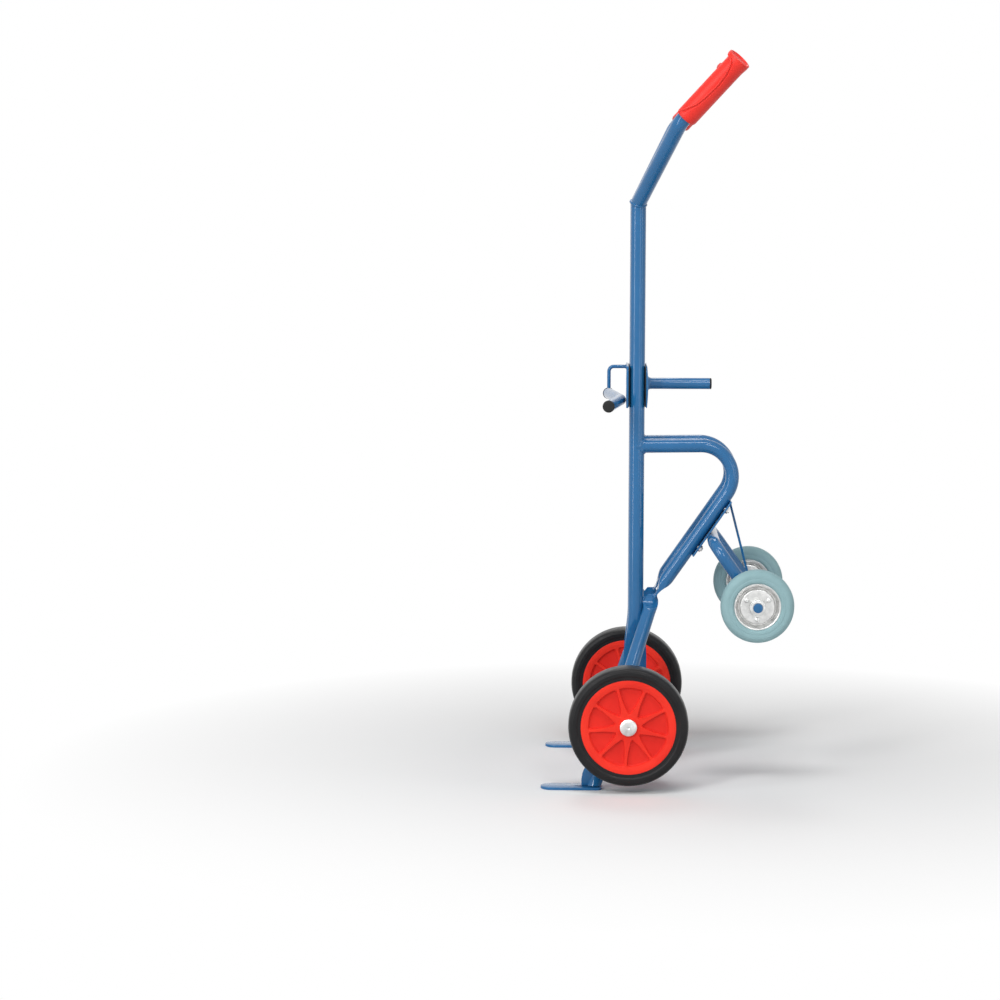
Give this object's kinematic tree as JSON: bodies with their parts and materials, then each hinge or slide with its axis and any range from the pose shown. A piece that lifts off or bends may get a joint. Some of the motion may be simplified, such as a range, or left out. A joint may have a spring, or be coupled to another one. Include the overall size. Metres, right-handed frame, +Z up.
{
  "type": "drum trolley",
  "caption": "Upright drum trolley with a twin-tube mast, spread legs and toes, a sliding hook carriage, large front wheels and small rear support wheels.",
  "frame": {"origin": "middle of the base in plan, at the level of the toes' undersides", "axes": "+Z up, -X towards the load, +X towards the operator, -Y the operator's left hand"},
  "size_m": [0.5492, 0.6262, 1.5902],
  "materials": {
    "blue_paint": "gloss",
    "grip_red": "satin",
    "rim_red": "satin",
    "tyre_black": "matte",
    "tyre_grey": "matte",
    "zinc": "satin",
    "black_plastic": "matte"
  },
  "bodies": {
    "frame": {"left_mast_tube": "blue_paint", "right_mast_tube": "blue_paint", "left_handle_tube": "blue_paint", "right_handle_tube": "blue_paint", "left_grip": "grip_red", "right_grip": "grip_red", "left_rear_tube": "blue_paint", "right_rear_tube": "blue_paint", "left_leg": "blue_paint", "right_leg": "blue_paint", "left_toe_plate": "blue_paint", "right_toe_plate": "blue_paint", "left_toe_gusset": "blue_paint", "right_toe_gusset": "blue_paint", "upper_mast_spacer": "blue_paint", "lower_mast_spacer": "blue_paint", "main_axle": "blue_paint", "axle_collars": "zinc", "hub_caps": "zinc", "bracket_plate": "blue_paint", "support_fork": "blue_paint", "support_brace": "blue_paint", "bracket_bolts": "zinc", "bracket_nuts": "zinc", "support_axle": "blue_paint", "support_washers": "zinc", "support_retainers": "zinc"},
    "hook_carriage": {"carriage_front_plate": "blue_paint", "carriage_back_plate": "blue_paint", "front_slide_pad": "black_plastic", "rear_slide_pad": "black_plastic", "guide_block": "black_plastic", "carriage_screws": "zinc", "drum_hook": "blue_paint", "rest_bar": "blue_paint", "rest_bar_caps": "black_plastic", "pull_handle": "blue_paint", "pull_handle_plug": "black_plastic"},
    "left_wheel": {"left_main_tyre": "tyre_black", "left_main_rim": "rim_red", "left_main_bush": "black_plastic"},
    "left_support_wheel": {"left_support_tyre": "tyre_grey", "left_support_rim_outer": "zinc", "left_support_rim_inner": "zinc", "left_support_rivets": "zinc", "left_support_hub": "zinc", "left_support_bush": "black_plastic"},
    "right_wheel": {"right_main_tyre": "tyre_black", "right_main_rim": "rim_red", "right_main_bush": "black_plastic"},
    "right_support_wheel": {"right_support_tyre": "tyre_grey", "right_support_rim_outer": "zinc", "right_support_rim_inner": "zinc", "right_support_rivets": "zinc", "right_support_hub": "zinc", "right_support_bush": "black_plastic"}
  },
  "joints": [
    {"name": "left_wheel_spin", "type": "hinge", "parent": "frame", "child": "left_wheel", "pos_m": [-0.08441, -0.275, 0.147], "axis": [0, 1, 0], "continuous": true},
    {"name": "right_wheel_spin", "type": "hinge", "parent": "frame", "child": "right_wheel", "pos_m": [-0.08441, 0.275, 0.147], "axis": [0, 1, 0], "continuous": true},
    {"name": "left_support_wheel_spin", "type": "hinge", "parent": "frame", "child": "left_support_wheel", "pos_m": [0.19459, -0.205, 0.3995], "axis": [0, 1, 0], "continuous": true},
    {"name": "right_support_wheel_spin", "type": "hinge", "parent": "frame", "child": "right_support_wheel", "pos_m": [0.19459, 0.205, 0.3995], "axis": [0, 1, 0], "continuous": true},
    {"name": "carriage_slide", "type": "slide", "parent": "frame", "child": "hook_carriage", "axis": [0, 0, 1], "range_m": [-0.06, 0.315]}
  ]
}
